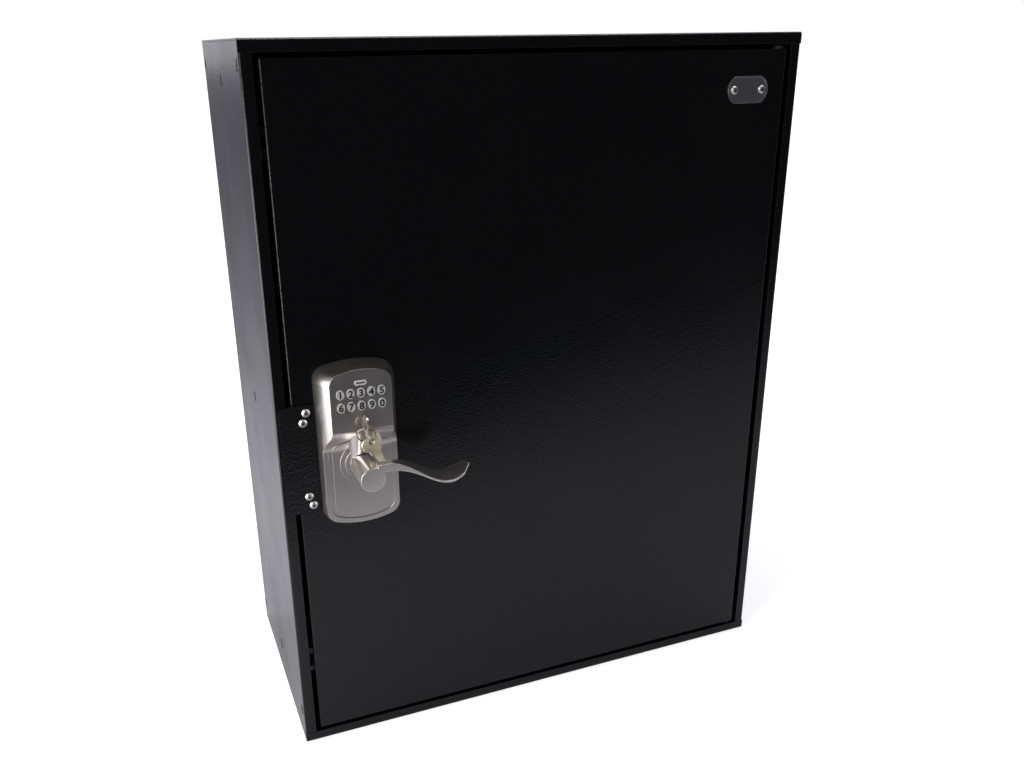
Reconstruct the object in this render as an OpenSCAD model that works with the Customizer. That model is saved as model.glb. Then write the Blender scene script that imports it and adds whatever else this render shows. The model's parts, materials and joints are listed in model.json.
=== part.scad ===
// Key drop box: a steel wall cabinet with an inset door, a keypad lever lock
// and a rack of key hooks. Keys go in through the slot in the top.
// The origin is the middle of the base, +Z is up and the door faces -Y.

/* [Cabinet] */
// Outside width of the cabinet
cab_w = 602; // [570:1:640]
// Outside height of the cabinet
cab_h = 762; // [720:1:820]
// Outside depth of the cabinet
cab_d = 284; // [260:1:320]
// Thickness of the cabinet and door sheet
sheet_t = 2; // [1.5:0.1:2.5]
// Width of the front rim
rim_w = 12; // [10:0.5:16]
// Outer radius of a bend in the sheet
bend_r = 3; // [2.6:0.1:4]
// Diameter of the plug weld marks on the sides
weld_d = 12.5; // [8:0.5:16]
// Depth of the plug weld marks
weld_sunk = 0.5; // [0.2:0.1:0.8]

/* [Drop slot] */
// Length of the key slot in the top
slot_len = 140; // [100:1:180]
// Width of the key slot in the top
slot_wide = 30; // [20:1:40]
// Corner radius of the key slot
slot_r = 5; // [2:0.5:8]
// Height of the ramp where it meets the back
ramp_h = 110; // [90:1:140]
// Height of the lips that fix the ramp
ramp_lip = 15; // [10:1:20]

/* [Key rack] */
// Depth of the flanges of the hook panel
rack_flange = 20; // [16:1:26]
// Gap above and below the hook panel
rack_gap = 20; // [18:1:30]
// Height of the way under the hook panel
pass_h = 75; // [60:1:90]
// Width of the legs on each side of that way
pass_leg = 27; // [20:1:40]
// Number of hooks in a row
hook_cols = 10; // [6:1:11]
// Number of rows of hooks
hook_rows = 6; // [3:1:7]
// Distance between hooks in a row
hook_pitch_x = 52; // [46:1:54]
// Distance between rows of hooks
hook_pitch_z = 92; // [80:1:98]
// Height of the lowest row of hooks
hook_first_z = 190; // [170:1:220]
// Length of a hook
hook_len = 27; // [20:1:32]
// Height of a hook's turned-up end
hook_up = 9; // [6:1:12]
// Diameter of the hook wire
hook_d = 3; // [2.5:0.1:4]

/* [Door] */
// Gap between the door and the rim
door_gap = 5; // [4:0.5:6]
// Depth of the door's returned edges
door_ret = 25; // [23:1:30]
// Width of the stiffener's flat
stiff_w = 50; // [40:1:80]
// Depth of the stiffener
stiff_d = 18; // [12:1:22]
// Width of a stiffener flange
stiff_flange = 15; // [10:1:20]
// Distance of the stiffener right of the middle
stiff_x = 60; // [30:1:90]

/* [Hinge] */
// Distance of the pivot from the door's right edge
pivot_inset = 8; // [7:0.5:9]
// Distance of the pivot behind the door's face
pivot_back = 7; // [6.5:0.5:8]
// Radius of a pivot pin
pin_r = 3; // [2.5:0.1:3.5]
// Running clearance of a pivot pin, on the radius
pin_clear = 0.05; // [0.03:0.01:0.08]
// Radius of a pivot pin's head
pin_head_r = 4.6; // [4:0.1:4.8]
// Thickness of a pivot pin's head
pin_head_t = 2; // [1.5:0.1:2.5]
// Thickness of a pivot bracket
brk_t = 3; // [2:0.1:4]
// Height of a pivot bracket's leg on the side
brk_leg = 32; // [20:1:50]
// Depth of a pivot bracket
brk_d = 30; // [20:1:40]
// Reach of a pivot bracket past the pivot
brk_reach = 12; // [9:1:16]
// Radius of the washer between door and bracket
wash_r = 6; // [5.5:0.1:6.5]
// Thickness of the washer
wash_t = 3; // [2.5:0.1:3.4]
// Depth of the pivot block in the door
block_d = 14; // [13:1:18]
// Height of the pivot block
block_h = 12; // [8:1:20]

/* [Latch] */
// Distance of the latch behind the door's face
latch_back = 19; // [18:0.5:22]
// Radius of the latch housing
latch_r = 11; // [10.5:0.1:12]
// Inner radius of the latch housing
latch_bore_r = 9.5; // [9.3:0.1:9.8]
// Height of the latch faceplate
face_h = 57; // [50:1:60]
// Width of the latch faceplate
face_w = 25.4; // [24:0.1:26]
// Thickness of the latch faceplate
face_t = 2; // [1.5:0.1:2.5]
// Gap between the faceplate and the door's return
face_clear = 0.7; // [0.5:0.1:1.5]
// Thickness of the latch bolt, front to back
bolt_d = 12; // [10:0.5:12.5]
// Height of the latch bolt
bolt_h = 16; // [12:0.5:16]
// Radius of the latch bolt's corners
bolt_r = 9.2; // [8.9:0.1:9.2]
// Reach of the bolt past the door's gap
bolt_bite = 3; // [2:0.5:5]
// Length of the solid part of the bolt
bolt_len = 30; // [26:1:34]
// Gap of the bolt in the faceplate and in front of it
bolt_clear = 0.4; // [0.3:0.1:0.8]
// Thickness of the strike bracket
strike_t = 3; // [2:0.1:4]
// Height of the strike bracket
strike_h = 70; // [50:1:90]
// Depth of the strike bracket's leg on the side
strike_leg = 34; // [24:1:40]
// Gap between the strike bracket and the door
strike_gap = 3; // [2:0.5:5]

/* [Lock place] */
// Distance of the lock's middle from the cabinet's left side
lock_inset = 82; // [80:1:90]
// Height of the lever's axis
lever_z = 350.5; // [330:0.5:400]
// Height of the key cylinder above the lever's axis
cyl_up = 51.5; // [50:0.5:53]
// Depth of the lock box behind the door's face
box_deep = 38; // [37:1:44]
// Width of the lock box to the right of the lock's middle
box_right = 60; // [48:1:80]
// Height of the lock box past the escutcheon's ends
box_more = 23; // [10:1:40]
// Radius of the bore through the door and the lock box
door_bore_r = 27; // [25:0.5:28]
// Height of a mounting bolt above or below the lever's axis
bolt_up = 36; // [35:0.5:37]
// Radius of a mounting bolt
mb_r = 2.5; // [2:0.1:3]

/* [Escutcheon] */
// Width of the escutcheon at its base
esc_w = 83; // [80:1:85]
// Height of the escutcheon above the lever's axis
esc_up = 108; // [106:1:112]
// Height of the escutcheon below the lever's axis
esc_down = 71.5; // [68:0.5:76]
// Rise of the arch at the top of the escutcheon
esc_arch_top = 7; // [5:0.5:9]
// Rise of the arch at the bottom of the escutcheon
esc_arch_low = 8; // [6:0.5:10]
// Radius of the escutcheon's corners at the door
esc_corner = 15; // [12:0.5:17]
// Radius of the corners of the keypad head's face
face_corner = 12; // [10:0.5:14]
// Power of the curve of the casting's walls, where 1 is straight
wall_curve = 2; // [1.6:0.1:2.4]
// Height of the shoulder between the head and the lower half
shoulder_h = 28; // [24:1:30]
// Depth of the keypad head
head_d = 34.5; // [33:0.5:38]
// Width of the keypad head's face
head_face_w = 63; // [60.5:0.5:66]
// Slope of the head above its face
head_drop = 0.8; // [0.4:0.2:3]
// Depth of the lower half
low_d = 17; // [15:0.5:19]
// Distance of the groove from the edge of the lower half's face
inset_edge = 5; // [3:0.5:6]
// Width of the groove that frames the lower half's panel
inset_w = 4; // [2:0.5:6]
// Depth of the groove that frames the panel
inset_d = 1; // [0.5:0.1:1.5]
// Distance of the groove below the keypad head
inset_down = 11; // [9:0.5:14]
// Wall of the escutcheon casting
esc_wall = 3; // [2.5:0.1:3.5]
// Radius of the outer ring round the lever's boss
ring_r = 22.7; // [21:0.1:25]
// Radius of the inner ring round the lever's boss
ring_in_r = 17.6; // [16:0.1:19]
// Height of each ring
ring_t = 1.5; // [0.8:0.1:2]
// Radius of the boss and of the keel above it
boss_r = 12.6; // [12:0.1:13.5]
// Distance of the boss face in front of the door
boss_d = 23; // [22:0.5:25]

/* [Keypad] */
// Width of a button
key_w = 8.3; // [7.5:0.1:8.4]
// Height of a button
key_h = 10.7; // [9:0.1:10.8]
// Distance between buttons in a row
key_pitch_x = 10.5; // [10.4:0.1:11]
// Distance between the rows of buttons
key_pitch_z = 13.7; // [13.2:0.1:14]
// Height of the upper row above the lever's axis
key_up = 83; // [82.5:0.5:84.5]
// Height of a button in front of the head
key_proud = 1; // [0.6:0.1:1.4]
// Gap round a button
key_gap = 0.25; // [0.15:0.05:0.35]
// Width of the flange that holds a button in
key_flange = 0.75; // [0.5:0.05:0.8]
// Travel of a button
key_travel = 1.2; // [0.8:0.1:1.5]
// Width of the blank lens above the buttons
lens_w = 13; // [10:0.5:16]
// Height of the blank lens
lens_h = 5.2; // [4:0.1:6]
// Height of the lens above the upper row
lens_up = 10.3; // [10:0.1:10.8]

/* [Key cylinder] */
// Radius of the key cylinder
cyl_r = 7.6; // [7.2:0.1:8]
// Radius of its plug
plug_r = 5.9; // [5.6:0.1:6.2]
// Running clearance of the plug, on the radius
plug_clear = 0.05; // [0.03:0.01:0.08]
// Height of the cylinder in front of the head
cyl_proud = 1.2; // [0.8:0.1:1.6]
// Length of the key cylinder
cyl_len = 28; // [24:1:30]
// Thickness of a key
blade_t = 2; // [1.8:0.1:2.4]
// Height of a key's blade
blade_h = 8; // [7:0.1:8.6]
// Length of a key's blade
blade_len = 28; // [24:1:30]
// Length of a key's bow
bow_len = 21; // [19:0.5:24]
// Width of a key's bow
bow_w = 23; // [20:0.5:25]
// Radius of the hole in a key's bow
bow_hole_r = 3.6; // [3.5:0.1:4]
// Distance from that hole's middle to the bow's end
bow_end = 6.7; // [6:0.1:8]
// Gap between the key in the lock and its plug
key_stop = 0.2; // [0.1:0.1:0.3]
// Radius of the key ring, to the middle of its wire
loop_r = 9.4; // [9.3:0.1:9.5]
// Radius of the key ring's wire
loop_wire = 0.8; // [0.6:0.1:0.8]
// Play of the key ring in a bow's hole
loop_play = 0.6; // [0.5:0.1:0.7]
// Place of the spare key on its ring, from the lowest point
loop_angle = 34; // [33:1:36]
// Lean of the spare key away from the lever's hub
spare_lean = 26; // [25:1:27]
// Turn of the spare key about its own length
spare_turn = 45; // [44:1:47]
// Turn of the ring, which brings the spare key's bow round to the front
ring_turn = 22; // [20:1:23]
// Tilt of the ring and the spare key back towards the door
hang_back = 23; // [22:1:24]

/* [Lever] */
// Radius of the lever's hub
hub_r = 12.7; // [12:0.1:13.5]
// Distance of the hub's end in front of the door
hub_front = 65; // [62:0.5:70]
// Gap round the hub where it sits in the keel
hub_gap = 0.8; // [0.6:0.1:1.2]
// Length of the lever from its axis
arm_len = 104; // [98:1:112]
// Height of the arm's wave
arm_wave = 15; // [12:0.5:18]
// Thickness of the arm's blade
arm_t = 2.4; // [2:0.1:3.5]
// Thickness that the arm gains at its root
arm_root_t = 5.8; // [4:0.2:6]
// Depth of the arm's blade at its widest
arm_d = 30; // [24:0.5:31]
// Depth of the arm at its root
arm_root_d = 10; // [8:0.5:14]
// Side of the square spindle
spindle_w = 8; // [7:0.1:8]
// Radius of a lever's shank
shank_r = 8; // [7.5:0.1:9]
// Running clearance of a shank, on the radius
shank_clear = 0.05; // [0.03:0.01:0.08]
// Outer radius of a shank's bush
bush_r = 11; // [10.5:0.1:11.5]

/* [Inside trim] */
// Width of the inside plate
in_w = 75; // [70:1:80]
// Depth of the inside plate
in_d = 22; // [20:0.5:24]
// Wall of the inside plate
in_wall = 2.5; // [2:0.1:3]
// Reach of the inside lever past the plate
in_hub = 34; // [32:0.5:36]
// Height of the battery cover
cover_h = 34; // [32:0.5:34]
// Width of the battery cover
cover_w = 54; // [50:1:60]
// Length of the thumb turn
thumb_len = 26; // [20:1:26]

/* [Guard and badge] */
// Height of the guard plate
guard_h = 120; // [110:1:130]
// Height of the guard plate's middle above the lever's axis
guard_up = 5; // [0:0.5:10]
// Thickness of the guard plate
guard_t = 2; // [1.5:0.1:2.5]
// Distance of the guard plate from the cabinet's left side
guard_edge = 3.5; // [2:0.5:6]
// Corner radius of the guard plate
guard_r = 8; // [4:0.5:12]
// Radius of a small button head screw
head_r = 4.4; // [4:0.1:4.8]
// Radius of its shank
screw_r = 2; // [1.5:0.1:2.4]
// Width of the badge
badge_w = 51; // [46:1:56]
// Height of the badge
badge_h = 28; // [24:0.5:32]
// Thickness of the badge
badge_t = 1.6; // [1:0.1:2]
// Distance between the badge's screws
badge_pitch = 35; // [32:1:37]
// Distance of the badge from the cabinet's right side
badge_x = 65; // [60:1:80]
// Distance of the badge from the cabinet's top
badge_z = 58; // [50:1:80]

/* [Wall mount] */
// Distance between the wall holes, across
wall_x = 406.4; // [380:0.1:440]
// Distance between the wall holes, up
wall_z = 560; // [520:1:600]
// Radius of a wall hole
wall_r = 4.5; // [3:0.5:6]

/* [Hidden] */
$fn = 48;

// Half widths and faces of the cabinet
half_w = cab_w / 2;
front = -cab_d / 2;
back = cab_d / 2;
in_x = half_w - sheet_t;
in_back = back - sheet_t;

// Edges of the door
door_x = half_w - rim_w - door_gap;
door_z0 = rim_w + door_gap;
door_z1 = cab_h - rim_w - door_gap;
door_in = front + sheet_t;
ret_back = front + door_ret;

// Front face of the hook panel's web, and the rear of its flanges
rack_y = -rack_flange / 2;
rack_back = rack_flange / 2;
slot_y = (rack_back + in_back) / 2;

// Hinge
pivot_x = door_x - pivot_inset;
pivot_y = front + pivot_back;
brk_in_z1 = door_z1 + wash_t;
brk_in_z0 = door_z0 - wash_t;

// Lock
lock_x = -half_w + lock_inset;
latch_y = front + latch_back;
box_x0 = -door_x + sheet_t + face_clear + face_t;
box_back = front + box_deep;
face_x = box_x0 - face_t;
bolt_tip = -door_x - door_gap - bolt_bite;
esc_z0 = lever_z - esc_down;
esc_z1 = lever_z + esc_up;
head_y = front - head_d;
low_y = front - low_d;
boss_y = front - boss_d;
hub_y = front - hub_front;
cyl_z = lever_z + cyl_up;
step_z = cyl_z - cyl_r - 0.4;
shoulder_z = step_z - shoulder_h;
key_z = lever_z + key_up;
face_in = (esc_w - head_face_w) / 2;
low_in = wall_in(low_d);
bolt_zs = [lever_z - bolt_up, lever_z + bolt_up];

// Inside of the keypad head, and what lies in it
cav_w = head_face_w - 2 * esc_wall;
cav_z0 = cyl_z + cyl_r + 1;
cav_z1 = esc_z1 - head_drop - esc_wall - 4;
cav_y = head_y + esc_wall;
key_seat_t = 1;
key_back = cav_y + 0.1 + key_seat_t;
mem_y = key_back + key_travel + 0.1;
mem_t = 2;
board_t = 1.6;

// Inside plate, as high as the escutcheon
in_front = box_back + in_d;
in_hub_y = in_front + in_hub;
cover_z1 = esc_z1 - 6;
cover_z0 = cover_z1 - cover_h;

// Key in the lock, and the ring that hangs from its bow
plug_proud = 0.3;
key_bow_y = head_y - cyl_proud - plug_proud - key_stop;
bow_hole = bow_len - bow_end;
bow_hole_y = key_bow_y - bow_hole;
loop_drop = bow_hole_r - loop_wire - loop_play;

// Radius of an arch from its chord and its rise
function arch_r(w, rise) = (w * w / 4 + rise * rise) / (2 * rise);

// Points of an upright outline with an arch at each end
function arch_pts(w, z0, z1, r0, r1, n = 14) =
    let (a1 = asin(w / 2 / r1), a0 = asin(w / 2 / r0)) concat(
        [for (i = [0:n]) let (a = a1 - 2 * a1 * i / n) [r1 * sin(a), z1 - r1 + r1 * cos(a)]],
        [for (i = [0:n]) let (a = -a0 + 2 * a0 * i / n) [r0 * sin(a), z0 + r0 - r0 * cos(a)]]);

// Points of an oval
function oval_pts(w, h, n = 28) = [for (i = [0:n - 1]) [w / 2 * cos(360 * i / n), h / 2 * sin(360 * i / n)]];

// Top line of the lever's arm, by distance from the lever's axis
arm_s0 = 16;
arm_dip = 0.79 * arm_len;
arm_turn = 48;
function arm_top(s) = s < arm_dip
    ? arm_wave * cos(180 * (s - arm_s0) / (arm_dip - arm_s0))
    : -arm_wave * cos(180 * (s - arm_dip) / arm_turn);
function arm_thick(s) = arm_t + arm_root_t * (1 + cos(180 * min(1, max(0, (s - arm_s0) / 46)))) / 2;

// Plan of the arm: how deep it is, by distance from the lever's axis
function arm_deep(s) = let (m = 0.62 * arm_len, e = 0.84 * arm_len)
    s < m ? arm_root_d + (arm_d - arm_root_d) * (1 - cos(180 * max(0, s - arm_s0) / (m - arm_s0))) / 2
    : s < e ? arm_d
    : arm_d * sqrt(max(0.02, 1 - pow((s - e) / (arm_len - e), 2))) * 0.7 + arm_d * 0.3;

// A box between two corners
module block(x0, x1, y0, y1, z0, z1) { translate([x0, y0, z0]) cube([x1 - x0, y1 - y0, z1 - z0]); }

// An outline drawn in X and Z, pulled from y0 back to y1
module pull(y0, y1) { translate([0, y1, 0]) rotate([90, 0, 0]) linear_extrude(y1 - y0) children(); }

// Round bars along each axis
module bar_x(r, y, z, x0, x1) { translate([x0, y, z]) rotate([0, 90, 0]) cylinder(r = r, h = x1 - x0); }
module bar_y(r, x, z, y0, y1) { translate([x, y1, z]) rotate([90, 0, 0]) cylinder(r = r, h = y1 - y0); }
module bar_z(r, x, y, z0, z1) { translate([x, y, z0]) cylinder(r = r, h = z1 - z0); }

// The corner of a folded sheet, seen along the fold, in the first quadrant
module fold_corner() {
    difference() {
        intersection() { translate([bend_r, bend_r]) circle(bend_r); square(bend_r); }
        translate([bend_r, bend_r]) circle(bend_r - sheet_t);
    }
}

// Two legs of a folded sheet that meet at the origin
module fold(a, b) {
    fold_corner();
    translate([bend_r, 0]) square([a - bend_r, sheet_t]);
    translate([0, bend_r]) square([sheet_t, b - bend_r]);
}

// A rectangle with round corners, in the middle of the origin
module round_rect(w, h, r) {
    square([w - 2 * r, h], center = true);
    square([w, h - 2 * r], center = true);
    for (x = [-1, 1], z = [-1, 1]) translate([x * (w / 2 - r), z * (h / 2 - r)]) circle(r);
}

// A domed screw head with a round socket, and its shank behind it
module button_screw(x, z, y, len) {
    translate([x, y, z]) rotate([90, 0, 0]) difference() {
        union() {
            cylinder(r = head_r, h = 0.8);
            translate([0, 0, 0.8]) cylinder(r1 = head_r, r2 = head_r * 0.62, h = 1.5);
            translate([0, 0, -len]) cylinder(r = screw_r, h = len + 0.1);
        }
        translate([0, 0, 1]) cylinder(r = head_r * 0.32, h = 2);
    }
}

module wall_weld_marks(side) {
    rows = [[front + 12, cab_h - 23], [front + 12, 38],
        [0, cab_h - 39], [0, cab_h / 2], [0, 44], [back - 12, cab_h - 25], [back - 12, 28]];
    x = side * (half_w - weld_sunk);
    for (p = rows) bar_x(weld_d / 2, p[0], p[1], min(x, x + side), max(x, x + side));
}

module top_panel() {
    color("black") difference() {
        translate([-half_w, front, cab_h]) rotate([90, 0, 90]) linear_extrude(cab_w)
            mirror([0, 1]) fold(cab_d, rim_w);
        translate([0, slot_y, cab_h - sheet_t - 1]) linear_extrude(sheet_t + 2)
            round_rect(slot_len, slot_wide, slot_r);
    }
}

module bottom_panel() {
    color("black") translate([-half_w, front, 0]) rotate([90, 0, 90]) linear_extrude(cab_w)
        fold(cab_d, rim_w);
}

// One side with its front flange, on the left of the origin
module side_panel() {
    difference() {
        translate([-half_w, front, sheet_t]) linear_extrude(cab_h - 2 * sheet_t)
            fold(rim_w, cab_d);
        for (z = [[0, rim_w], [cab_h - rim_w, cab_h]])
            block(-half_w - 1, -half_w + rim_w + 1, front - 1, front + bend_r, z[0], z[1]);
        wall_weld_marks(-1);
    }
}

module left_side_panel() { color("black") side_panel(); }

module right_side_panel() { color("black") mirror([1, 0, 0]) side_panel(); }

module back_panel() {
    color("black") difference() {
        block(-in_x, in_x, in_back, back, sheet_t, cab_h - sheet_t);
        for (x = [-1, 1], z = [-1, 1])
            bar_y(wall_r, x * wall_x / 2, cab_h / 2 + z * wall_z / 2, in_back - 1, back + 1);
    }
}

module hook_panel() {
    color("black") difference() {
        union() {
            block(-in_x, in_x, rack_y, rack_y + sheet_t, rack_gap, cab_h - rack_gap);
            for (x = [-in_x, in_x - sheet_t])
                block(x, x + sheet_t, rack_y, rack_back, rack_gap, cab_h - rack_gap);
        }
        block(-in_x + pass_leg, in_x - pass_leg, rack_y - 1, rack_y + sheet_t + 1, 0, rack_gap + pass_h);
    }
}

// Places of the hooks that are clear of the lock behind the door
hook_places = [for (r = [0:hook_rows - 1], c = [0:hook_cols - 1])
    let (x = (c - (hook_cols - 1) / 2) * hook_pitch_x, z = hook_first_z + r * hook_pitch_z)
    if (!(x < lock_x + arm_len + 12 && z > esc_z0 - 20 && z < esc_z1 + 12)) [x, z]];

module key_hooks() {
    color("silver") for (p = hook_places) {
        bar_y(hook_d / 2, p[0], p[1], rack_y - hook_len, rack_y);
        translate([p[0], rack_y - hook_len, p[1]]) sphere(hook_d / 2);
        bar_z(hook_d / 2, p[0], rack_y - hook_len, p[1], p[1] + hook_up);
    }
}

module drop_ramp() {
    t = sheet_t;
    color("black") translate([-in_x, 0, 0]) rotate([90, 0, 90]) linear_extrude(2 * in_x) polygon([
        [rack_y, t], [rack_back, t], [in_back, ramp_h], [in_back, ramp_h + ramp_lip],
        [in_back - t, ramp_h + ramp_lip], [in_back - t, ramp_h + t], [rack_back, 2 * t + 0.5],
        [rack_y, 2 * t]]);
}

module strike_bracket() {
    y1 = latch_y - bolt_d / 2 - bolt_clear;
    color("dimgray") {
        block(-in_x, -door_x - strike_gap, y1 - strike_t, y1, lever_z - strike_h / 2, lever_z + strike_h / 2);
        block(-in_x, -in_x + strike_t, y1 - strike_t, y1 - strike_t + strike_leg,
            lever_z - strike_h / 2, lever_z + strike_h / 2);
    }
}

// Height and thickness of the stops that the door shuts on
stop_zs = [90, cab_h - 92];
stop_h = 30;
bumper_t = 6;
bumper_r = 6;
bumper_x = -door_x + 1;

module door_stops() {
    y0 = ret_back + bumper_t;
    color("dimgray") for (z = stop_zs) {
        block(-in_x, bumper_x + bumper_r + 3, y0, y0 + strike_t, z - stop_h / 2, z + stop_h / 2);
        block(-in_x, -in_x + strike_t, y0, y0 + 24, z - stop_h / 2, z + stop_h / 2);
    }
}

module door_bumpers() {
    color("dimgray") for (z = stop_zs) bar_y(bumper_r, bumper_x, z, ret_back, ret_back + bumper_t);
}

// A bracket with its flat at z0, above or below the door, and its leg beside the door
module pivot_bracket(z0, up) {
    y0 = front + bend_r;
    zf = up > 0 ? z0 : z0 - brk_t;
    zl = up > 0 ? z0 + brk_t - brk_leg : z0 - brk_t;
    difference() {
        union() {
            block(pivot_x - brk_reach, in_x, y0, y0 + brk_d, zf, zf + brk_t);
            block(in_x - brk_t, in_x, y0, y0 + brk_d, zl, zl + brk_leg);
        }
        bar_z(pin_r, pivot_x, pivot_y, zf - 1, zf + brk_t + 1);
    }
}

module pivot_bracket_top() { color("dimgray") pivot_bracket(brk_in_z1, 1); }

module pivot_bracket_bottom() { color("dimgray") pivot_bracket(brk_in_z0, -1); }

module pivot_pins() {
    z1 = brk_in_z1 + brk_t;
    z0 = brk_in_z0 - brk_t;
    color("silver") {
        bar_z(pin_r, pivot_x, pivot_y, door_z1 - sheet_t - block_h, z1);
        bar_z(pin_head_r, pivot_x, pivot_y, z1, z1 + pin_head_t);
        bar_z(pin_r, pivot_x, pivot_y, z0, door_z0 + sheet_t + block_h);
        bar_z(pin_head_r, pivot_x, pivot_y, z0 - pin_head_t, z0);
    }
}

module pivot_washers() {
    color("white") for (z = [door_z0 - wash_t, door_z1]) difference() {
        bar_z(wash_r, pivot_x, pivot_y, z, z + wash_t);
        bar_z(pin_r + 0.1, pivot_x, pivot_y, z - 1, z + wash_t + 1);
    }
}

// Shank holes of the guard plate's and the badge's screws
guard_x0 = -half_w + guard_edge;
guard_z = lever_z + guard_up;
guard_screws_at = [for (s = [-1, 1]) each [
    [-half_w + 31.4, guard_z + s * (guard_h / 2 - 8)], [-half_w + 27.6, guard_z + s * (guard_h / 2 - 18.5)]]];
badge_at = [half_w - badge_x, cab_h - badge_z];
badge_screws_at = [for (s = [-1, 1]) [badge_at[0] + s * badge_pitch / 2, badge_at[1]]];

module bolt_holes(r, y0, y1) { for (z = bolt_zs) bar_y(r, lock_x, z, y0, y1); }

module door_pan() {
    color("black") difference() {
        union() {
            translate([-door_x, front, door_z0]) linear_extrude(door_z1 - door_z0) fold(door_x + 1, door_ret);
            mirror([1, 0, 0]) translate([-door_x, front, door_z0]) linear_extrude(door_z1 - door_z0)
                fold(door_x + 1, door_ret);
            for (z = [door_z0, door_z1 - sheet_t])
                block(-door_x + sheet_t, door_x - sheet_t, door_in - 1, ret_back, z, z + sheet_t);
        }
        bar_y(door_bore_r, lock_x, lever_z, front - 1, door_in + 1);
        bar_y(cyl_r + 1, lock_x, cyl_z, front - 1, door_in + 1);
        bolt_holes(mb_r + 0.4, front - 1, door_in + 1);
        block(-door_x - 1, -door_x + sheet_t + 1, latch_y - bolt_d / 2 - 1, ret_back + 1,
            lever_z - bolt_h / 2 - 3, lever_z + bolt_h / 2 + 3);
        for (p = concat(guard_screws_at, badge_screws_at)) bar_y(screw_r, p[0], p[1], front - 1, door_in + 1);
        for (z = [door_z0, door_z1 - sheet_t])
            bar_z(pin_r + pin_clear, pivot_x, pivot_y, z - 1, z + sheet_t + 1);
    }
}

module door_stiffener() {
    t = 1.5;
    z0 = door_z0 + sheet_t + 6;
    z1 = door_z1 - sheet_t - 6;
    w = stiff_w / 2;
    color("black") translate([stiff_x, door_in, z0]) linear_extrude(z1 - z0) {
        for (s = [-1, 1]) {
            translate([s * (w + stiff_flange / 2), t / 2]) square([stiff_flange, t], center = true);
            translate([s * (w - t / 2), stiff_d / 2]) square([t, stiff_d], center = true);
        }
        translate([0, stiff_d - t / 2]) square([stiff_w, t], center = true);
    }
}

module lock_box() {
    x1 = lock_x + box_right;
    z0 = esc_z0 - box_more;
    z1 = esc_z1 + box_more;
    color("black") difference() {
        block(box_x0, x1, door_in, box_back, z0, z1);
        block(box_x0 + sheet_t, x1 - sheet_t, door_in - 1, box_back - sheet_t, z0 + sheet_t, z1 - sheet_t);
        bar_y(door_bore_r, lock_x, lever_z, box_back - sheet_t - 1, box_back + 1);
        bolt_holes(mb_r + 0.4, box_back - sheet_t - 1, box_back + 1);
        bar_x(latch_r + 0.1, latch_y, lever_z, box_x0 - 1, box_x0 + sheet_t + 1);
    }
}

module pivot_blocks() {
    x0 = pivot_x - pivot_inset;
    y0 = front + bend_r;
    color("dimgray") for (z = [door_z0 + sheet_t, door_z1 - sheet_t - block_h]) difference() {
        block(x0, door_x - sheet_t, y0, y0 + block_d, z, z + block_h);
        bar_z(pin_r + pin_clear, pivot_x, pivot_y, z - 1, z + block_h + 1);
    }
}

module guard_plate() {
    x1 = lock_x - door_bore_r + 12;
    h = guard_h / 2;
    color("black") difference() {
        pull(front - guard_t, front) translate([0, guard_z]) {
            translate([guard_x0 + guard_r, -h]) square([x1 - guard_x0 - guard_r, guard_h]);
            translate([guard_x0, -h]) square([guard_r, guard_h - guard_r]);
            intersection() {
                translate([guard_x0 + guard_r, h - guard_r]) circle(guard_r);
                translate([guard_x0, h - guard_r]) square(guard_r);
            }
        }
        for (p = guard_screws_at) bar_y(screw_r, p[0], p[1], front - guard_t - 1, front + 1);
        bar_y(shank_r + 8, lock_x, lever_z, front - guard_t - 1, front + 1);
    }
}

module guard_screws() {
    color("silver") for (p = guard_screws_at) button_screw(p[0], p[1], front - guard_t, guard_t + 5);
}

// Outline of the badge: flat top and bottom, round ends
badge_round = 9;
module badge_outline(w, h) {
    r = arch_r(h, badge_round);
    intersection() {
        square([w, h], center = true);
        union() {
            square([w - 2 * badge_round, h], center = true);
            for (s = [-1, 1]) translate([s * (w / 2 - r), 0]) circle(r);
        }
    }
}

module badge_plate() {
    color("gray") difference() {
        translate([badge_at[0], 0, badge_at[1]]) difference() {
            pull(front - badge_t, front) badge_outline(badge_w, badge_h);
            pull(front - badge_t - 1, front - badge_t + 0.4) badge_outline(badge_w - 3, badge_h - 3);
        }
        for (p = badge_screws_at) bar_y(screw_r, p[0], p[1], front - badge_t - 1, front + 1);
    }
}

module badge_screws() {
    color("silver") for (p = badge_screws_at) button_screw(p[0], p[1], front - badge_t + 0.4, badge_t + 4);
}

// An upright outline with an arch and round corners at each end
module outline(w, z0, z1, corner) {
    offset(r = corner, $fn = 32) offset(delta = -corner)
        polygon(arch_pts(w, z0, z1, arch_r(w, esc_arch_low), arch_r(w, esc_arch_top)));
}

// How far the casting's wall has curved in at a depth in front of the door
function wall_in(depth) = face_in * pow(depth / head_d, wall_curve);

// Side view of the casting, with the deep head, the shoulder and the shallow lower half
module side_view() {
    n = 12;
    rise = low_y - head_y;
    polygon(concat([[front + 1, esc_z0 - 1], [low_y, esc_z0 - 1]],
        [for (i = [0:n]) [low_y - rise * (1 - cos(180 * i / n)) / 2, shoulder_z + shoulder_h * i / n]],
        [[head_y - 1, step_z], [head_y - 1, esc_z1 + 1], [front + 1, esc_z1 + 1]]));
}

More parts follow.
